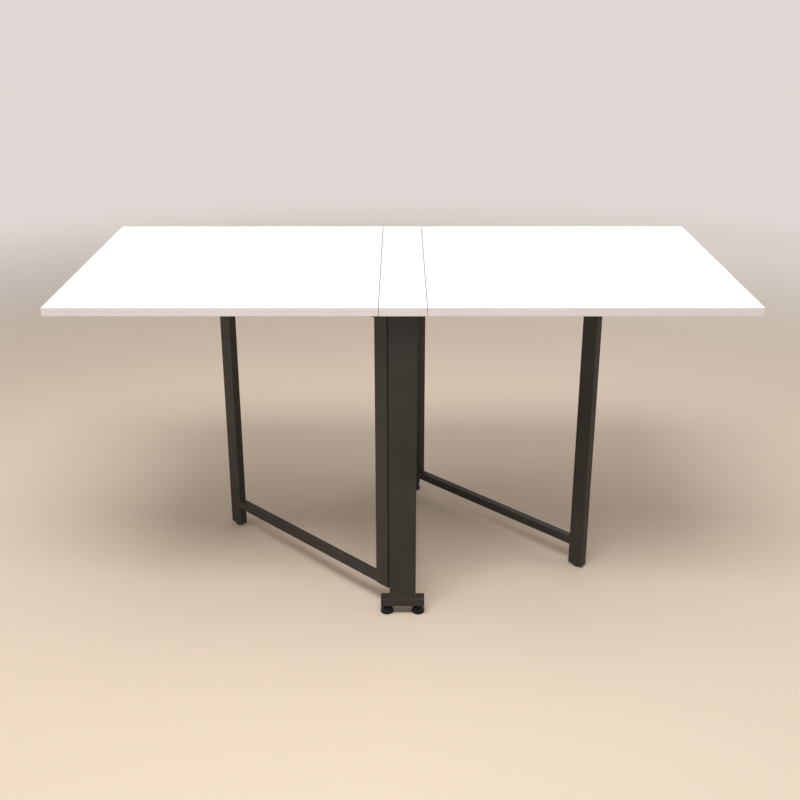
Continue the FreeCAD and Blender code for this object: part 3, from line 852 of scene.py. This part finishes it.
def roll_hinge_half(name, node_name, pin_box, first_knuckle, body):
    axis = middle(pin_box)
    low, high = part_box(node_name)
    start_y, length = pin_box[0].y, pin_box[1].y - pin_box[0].y
    side = 1 if (low.x + high.x) / 2 > axis.x else -1
    outer = high.z - axis.z
    inner = (pin_box[1].z - pin_box[0].z) / 2 + PIN_CLEARANCE
    near = outer + KNUCKLE_GAP
    far = max(high.x - axis.x, axis.x - low.x)
    stations, spans = hinge_stations(length)
    count = {}
    places = {}

    def point(out, up, y):
        key = (round(out, 7), round(up, 7), round(y, 7))
        places[key] = (axis.x + side * out, start_y + y, axis.z + up)
        return key

    def add_cell(section_a, section_b, y_a, y_b):
        a = [point(out, up, y_a) for out, up in section_a]
        b = [point(out, up, y_b) for out, up in section_b]
        faces = [a, b] + [[a[i], a[(i + 1) % 4], b[(i + 1) % 4], b[i]] for i in range(4)]
        for face in faces:
            count.setdefault(frozenset(face), []).append(face)

    def plate(y):
        end = far - corner_loss(min(y, length - y))
        return ((near, outer), (end, outer), (end, outer - HINGE_SHEET), (near, outer - HINGE_SHEET))

    web = ((0, outer), (near, outer), (near, outer - HINGE_SHEET), (0, inner))
    for y_a, y_b in zip(stations, stations[1:]):
        add_cell(plate(y_a), plate(y_b), y_a, y_b)
        middle_y = (y_a + y_b) / 2
        if any(s < middle_y < e for s, e in spans[first_knuckle::2]):
            for cell in [web] + curl_cells(outer, inner):
                add_cell(cell, cell, y_a, y_b)
    shape = bmesh.new()
    corners = {key: shape.verts.new(place) for key, place in places.items()}
    for faces in count.values():
        if len(faces) == 1:
            shape.faces.new([corners[key] for key in faces[0]])
    loose = [v for v in shape.verts if not v.link_faces]
    bmesh.ops.delete(shape, geom=loose, context="VERTS")
    piece = as_object(name, shape, "zinc_steel")
    holes = [box for box in screw_boxes if low.x < middle(box).x < high.x and low.y < middle(box).y < high.y]
    for box in holes:
        drill = bmesh.new()
        hole = (box[1].x - box[0].x) / 4 + HOLE_ROOM
        outline = [(0, -DRILL_REACH), (hole, -DRILL_REACH), (hole, DRILL_REACH), (0, DRILL_REACH)]
        turn_outline(drill, outline, (*middle(box).xy, axis.z), 24)
        cut_away(piece, as_object("drill", drill, "zinc_steel"))
    break_edges(piece, HINGE_EDGE_BREAK)
    hand_over(piece, "zinc_steel", body, node_name)


pin_boxes = solids_of("leaf_hinge_pins")
screw_boxes = [box for name in slot_of if name.endswith("screws") for box in solids_of(name)]
for side in ("left", "right"):
    for letter in ("a", "b"):
        for half, first_knuckle, body in (("fixed", 0, "centre_frame"), ("moving", 1, side + "_leaf")):
            node_name = f"{side}_hinge_{letter}_{half}_half"
            low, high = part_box(node_name)
            pin_box = min(pin_boxes, key=lambda box: (middle(box) - (low + high) / 2).length)
            roll_hinge_half(f"{side}_hinge_{letter}_{half}_rolled", node_name, pin_box, first_knuckle, body)

# %% [markdown]
# ## Pivot bolts
# A low cap screw with a hexagon socket drops through each upper bracket into the gate's bush, and
# the gate turns on its smooth shank. The head is turned, and the socket is cut out of it with
# a six-sided tool, as it is punched in the real bolt.

# %% Turn the pivot bolts
SHANK_CHAMFER = 0.8 * MM
SOCKET_FLATS = 5 * MM
SOCKET_DEPTH = 1.9 * MM
SEAT_BREAK = 0.15 * MM

bolts = bmesh.new()
bolt_boxes = solids_of("upper_pivot_bolts")
bolt_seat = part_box("front_upper_pivot_bracket")[1].z
pin_low, pin_high = solids_of("lower_pivot_pins")[0]
for low, high in bolt_boxes:
    head_radius = (high.x - low.x) / 2
    shank_radius = (pin_high.x - pin_low.x) / 2
    rise = high.z - bolt_seat
    round_over = rise / 3
    outline = [(0, low.z), (shank_radius - SHANK_CHAMFER, low.z), (shank_radius, low.z + SHANK_CHAMFER)]
    outline += [(shank_radius, bolt_seat), (head_radius - SEAT_BREAK, bolt_seat)]
    outline += [(head_radius, bolt_seat + SEAT_BREAK)]
    outline += arc((head_radius - round_over, high.z - round_over), round_over, 0, 90)
    outline += [(0, high.z)]
    turn_outline(bolts, outline, (*middle((low, high)).xy, 0), sides=40)
bolts_piece = as_object("upper_pivot_cap_screws", bolts, "zinc_steel")
for low, high in bolt_boxes:
    socket = bmesh.new()
    corner = SOCKET_FLATS / math.sqrt(3)
    top = high.z + MM
    outline = [(0, high.z - SOCKET_DEPTH), (corner, high.z - SOCKET_DEPTH), (corner, top), (0, top)]
    turn_outline(socket, outline, (*middle((low, high)).xy, 0), sides=6)
    cut_away(bolts_piece, as_object("socket_cutter", socket, "zinc_steel"))
hand_over(bolts_piece, "zinc_steel", "centre_frame", "upper_pivot_bolts")

# %% [markdown]
# ## Support pads
# A moulded pad closes the top of each leg, and the leaf rests on it. Thin fins grip the inside of
# the tube, a flange stops at the tube's end, and a groove on top lets the air out. It is built from
# rounded rectangles at rising heights. The top stays a hair under the board, because the pad
# has to slide along it when the gate closes.

# %% Mould the support pads
UP = Vector((0, 0, 1))
PAD_CORNER = 2 * MM
PAD_CORNER_LEAST = 0.4 * MM
PAD_CORNER_STEPS = 6
PAD_CLEARANCE = 0.06 * MM
PAD_FLANGE_BREAK = 0.3 * MM
PAD_SHOULDER = 1.5 * MM
PAD_GROOVE = (3.2 * MM, 3.6 * MM, 4.4 * MM, 4.8 * MM)
PAD_GROOVE_DEPTH = 0.6 * MM
FIN_INSET = 1.62 * MM
FIN_DEPTH = 1.1 * MM
FIN_PITCH = 3 * MM
FIN_THICKNESS = 1 * MM


def gate_directions(side):
    """A gate's direction from its pivot to its leg, and the direction square to its broad face."""
    pins = [middle(box) for box in solids_of("lower_pivot_pins")]
    stile = middle(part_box(side + "_gate_stile"))
    pivot = min(pins, key=lambda place: (place - stile).xy.length)
    along = (middle(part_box(side + "_gate_leg")) - pivot).xy.to_3d().normalized()
    return along, along.cross(UP)


def rounded_rectangle(half_x, half_y, inset):
    corner = max(PAD_CORNER - inset, PAD_CORNER_LEAST)
    points = []
    for quarter, (side_x, side_y) in enumerate(((1, 1), (-1, 1), (-1, -1), (1, -1))):
        centre = (side_x * (half_x - inset - corner), side_y * (half_y - inset - corner))
        points += arc(centre, corner, 90 * quarter, 90 * quarter + 90, PAD_CORNER_STEPS)
    return points


def pad_profile(bottom, flange, top):
    """Insets from the tube's outside, with heights, from the lowest fin to the groove on top."""
    profile = []
    height = bottom
    while height < flange - FIN_THICKNESS:
        profile += [(FIN_INSET, height), (FIN_INSET, height + FIN_THICKNESS)]
        profile += [(FIN_INSET + FIN_DEPTH, height + FIN_THICKNESS)]
        height = min(height + FIN_PITCH, flange)
        profile += [(FIN_INSET + FIN_DEPTH, height)]
    profile += [(PAD_FLANGE_BREAK, flange), (0, flange + PAD_FLANGE_BREAK)]
    shoulder = arc((0, 0), PAD_SHOULDER, 0, 90)
    profile += [(PAD_SHOULDER - across, top - PAD_SHOULDER + rise) for across, rise in shoulder]
    depths = (0, PAD_GROOVE_DEPTH, PAD_GROOVE_DEPTH, 0)
    return profile + [(inset, top - depth) for inset, depth in zip(PAD_GROOVE, depths)]


for side in ("left", "right"):
    node_name = side + "_gate_support_pad"
    along, outward = gate_directions(side)
    a_low, a_high = reach_of(node_name, along)
    o_low, o_high = reach_of(node_name, outward)
    low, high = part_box(node_name)
    centre = along * (a_low + a_high) / 2 + outward * (o_low + o_high) / 2
    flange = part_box(side + "_gate_leg")[1].z
    pad = bmesh.new()
    rings = []
    for inset, height in pad_profile(low.z, flange, high.z - PAD_CLEARANCE):
        flat = rounded_rectangle((a_high - a_low) / 2, (o_high - o_low) / 2, inset)
        rings.append([pad.verts.new(centre + along * x + outward * y + UP * height) for x, y in flat])
    join_rings(pad, rings)
    pad.faces.new(rings[0])
    pad.faces.new(rings[-1])
    piece = as_object(side + "_moulded_support_pad", pad, "black_nylon")
    hand_over(piece, "black_nylon", side + "_gate", node_name)

# %% [markdown]
# ## Weld beads
# The frame's tubes are joined by welding, and the coat goes over the bead. A bead is a row of small
# crescents, one for each time the pool froze. In a corner it is a flattened quarter round, and on
# flush faces it has been ground almost level. A plain fillet would look moulded, so the bead's
# surface ripples along its length and both of its ends run out.

# %% Weld helper
RIPPLE = 1.4 * MM
RIPPLE_STEPS = 6
CORNER_BEAD = 2.2 * MM
BRACKET_BEAD = 1.6 * MM
FLUSH_WIDTH = 2.2 * MM
FLUSH_HEIGHT = 0.14 * MM
BEAD_ROOT = 0.35 * MM
SECTION_STEPS = 8


def lay_bead(shape, start, end, arm_a, arm_b, sweep, root, seed):
    """A bead from start to end. Its section is an arc from arm_a through arm_b, over sweep degrees."""
    along = end - start
    length = along.length
    wander = random.Random(seed)
    rings = []
    count = max(4, round(length / RIPPLE * RIPPLE_STEPS))
    phase = wander.random()
    sway = [wander.uniform(-0.05, 0.05) for _ in range(count + 1)]
    run_out = arm_a.length
    for i in range(count + 1):
        fraction = i / count
        near_end = min(fraction, 1 - fraction) * length
        ends = math.sqrt(max(0.0, 1 - max(0.0, 1 - near_end / run_out) ** 2))
        ring = [start + along * fraction + root]
        for step in range(SECTION_STEPS + 1):
            angle = math.radians(sweep) * step / SECTION_STEPS
            bow = 0.45 * math.sin(math.pi * step / SECTION_STEPS)
            ripple = (fraction * length / RIPPLE - bow + phase) % 1
            swell = 0.9 + 0.13 * math.sqrt(max(0.0, 1 - (2 * ripple - 1) ** 2)) + sway[i]
            flat = 1 - 0.16 * math.sin(math.pi * step / SECTION_STEPS) if sweep <= 90 else 1
            offset = (arm_a * math.cos(angle) + arm_b * math.sin(angle)) * swell * flat * max(ends, 0.05)
            ring.append(start + along * fraction + offset)
        rings.append([shape.verts.new(place) for place in ring])
    join_rings(shape, rings)
    shape.faces.new(rings[0])
    shape.faces.new(rings[-1])


def corner_bead(shape, start, end, face_a, face_b, seed, size=CORNER_BEAD):
    """A bead in an inside corner; face_a and face_b point away from the corner along its two faces."""
    lay_bead(shape, start, end, face_a * size, face_b * size, 90, -(face_a + face_b) * BEAD_ROOT, seed)


def flush_bead(shape, start, end, outward, seed):
    """A bead ground almost level on a flat face."""
    across = (end - start).normalized().cross(outward)
    lay_bead(shape, start, end, across * FLUSH_WIDTH, outward * FLUSH_HEIGHT, 180, -outward * BEAD_ROOT, seed)


print("bead size in a corner (mm):", round(CORNER_BEAD / MM, 2))

# %% [markdown]
# ### Beads of the centre frame
# The posts stand on the foot bars, the stretchers tie the posts, and small brackets carry the
# pivots. The welder reaches every inside corner that a hand can get to. The corner above each lower
# bracket stays bare, because the end of the gate sweeps past there.

# %% Weld the centre frame
RIGHT = Vector((1, 0, 0))
CORNER_ROUND = 2 * MM


def weld_post(shape, post_name, seed):
    low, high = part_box(post_name)
    inward = Vector((0, -1 if low.y > 0 else 1, 0))
    outer_y, inner_y = (low.y, high.y) if inward.y > 0 else (high.y, low.y)
    y_span = (low.y + CORNER_ROUND, high.y - CORNER_ROUND)
    x_span = (low.x + CORNER_ROUND, high.x - CORNER_ROUND)
    for x, out in ((low.x, -RIGHT), (high.x, RIGHT)):
        for z, rise in ((low.z, UP), (high.z, -UP)):
            start, end = (Vector((x, y, z)) for y in y_span)
            corner_bead(shape, start, end, out, rise, seed)
            seed += 1
    start, end = (Vector((x, outer_y, high.z)) for x in x_span)
    corner_bead(shape, start, end, -inward, -UP, seed)
    for y, out in ((outer_y, -inward), (inner_y, inward)):
        flush_bead(shape, Vector((x_span[0], y, low.z)), Vector((x_span[1], y, low.z)), out, seed + 1)
        seed += 1


def weld_stretcher(shape, node_name, sides, seed):
    low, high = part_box(node_name)
    for y, inward in ((low.y, Vector((0, 1, 0))), (high.y, Vector((0, -1, 0)))):
        z_span = (low.z + CORNER_ROUND, high.z - CORNER_ROUND)
        for x, out in ((low.x, -RIGHT), (high.x, RIGHT)):
            corner_bead(shape, Vector((x, y, z_span[0])), Vector((x, y, z_span[1])), out, inward, seed)
            seed += 1
        for side in sides:
            z = high.z if side > 0 else low.z
            start = Vector((low.x + CORNER_ROUND, y, z))
            end = Vector((high.x - CORNER_ROUND, y, z))
            corner_bead(shape, start, end, UP * side, inward, seed)
            seed += 1


def weld_bracket(shape, node_name, post_name, side, seed):
    """side is 1 for a bead on top of the bracket and -1 for one under it."""
    low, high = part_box(node_name)
    post_low, post_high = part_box(post_name)
    front = low.y < 0
    y = post_high.y if front else post_low.y
    inward = Vector((0, 1 if front else -1, 0))
    x_low = max(low.x, post_low.x) + CORNER_ROUND
    x_high = min(high.x, post_high.x) - CORNER_ROUND
    z = high.z if side > 0 else low.z
    start, end = (Vector((x, y, z)) for x in (x_low, x_high))
    corner_bead(shape, start, end, UP * side, inward, seed, BRACKET_BEAD)


centre_welds = bmesh.new()
weld_post(centre_welds, "front_post", 10)
weld_post(centre_welds, "rear_post", 30)
weld_stretcher(centre_welds, "lower_stretcher", (1, -1), 50)
weld_stretcher(centre_welds, "upper_stretcher", (-1,), 70)
for end_index, end_name in enumerate(("front", "rear")):
    weld_bracket(centre_welds, end_name + "_lower_pivot_bracket", end_name + "_post", -1, 90 + end_index)
    weld_bracket(centre_welds, end_name + "_upper_pivot_bracket", end_name + "_post", 1, 95 + end_index)
piece = as_object("centre_frame_weld_beads", centre_welds, "charcoal_powder_coat")
hand_over(piece, "charcoal_powder_coat", "centre_frame")

# %% [markdown]
# ### Beads of the gates
# Each gate is four tubes in one plane. Their broad faces are flush, so the butt joints there are
# ground, and only the inside corners keep a full bead. The gate stands open at an angle, so every
# place is measured along the gate's own directions.

# %% Weld the gates
def weld_gate(side, seed):
    part = side + "_gate_"
    along, outward = gate_directions(side)
    half = (reach_of(part + "leg", outward)[1] - reach_of(part + "leg", outward)[0]) / 2
    face = sum(reach_of(part + "leg", outward)) / 2
    stile_face = reach_of(part + "stile", along)[1]
    leg_face = reach_of(part + "leg", along)[0]
    shape = bmesh.new()

    def spot(along_reach, outward_reach, z):
        return along * along_reach + outward * (face + outward_reach) + UP * z

    for rail, sides_at_stile, sides_at_leg in (("bottom_rail", (1,), (1, -1)), ("top_rail", (-1,), (-1,))):
        low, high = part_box(part + rail)
        for reach, away, sides in ((stile_face, along, sides_at_stile), (leg_face, -along, sides_at_leg)):
            for vertical in sides:
                z = high.z if vertical > 0 else low.z
                start = spot(reach, CORNER_ROUND - half, z)
                end = spot(reach, half - CORNER_ROUND, z)
                corner_bead(shape, start, end, away, UP * vertical, seed)
                seed += 1
            for turn in (1, -1):
                start = spot(reach, half * turn, low.z + CORNER_ROUND)
                end = spot(reach, half * turn, high.z - CORNER_ROUND)
                flush_bead(shape, start, end, outward * turn, seed)
                seed += 1
    piece = as_object(part + "weld_beads", shape, "charcoal_powder_coat")
    hand_over(piece, "charcoal_powder_coat", side + "_gate")


weld_gate("left", 200)
weld_gate("right", 300)
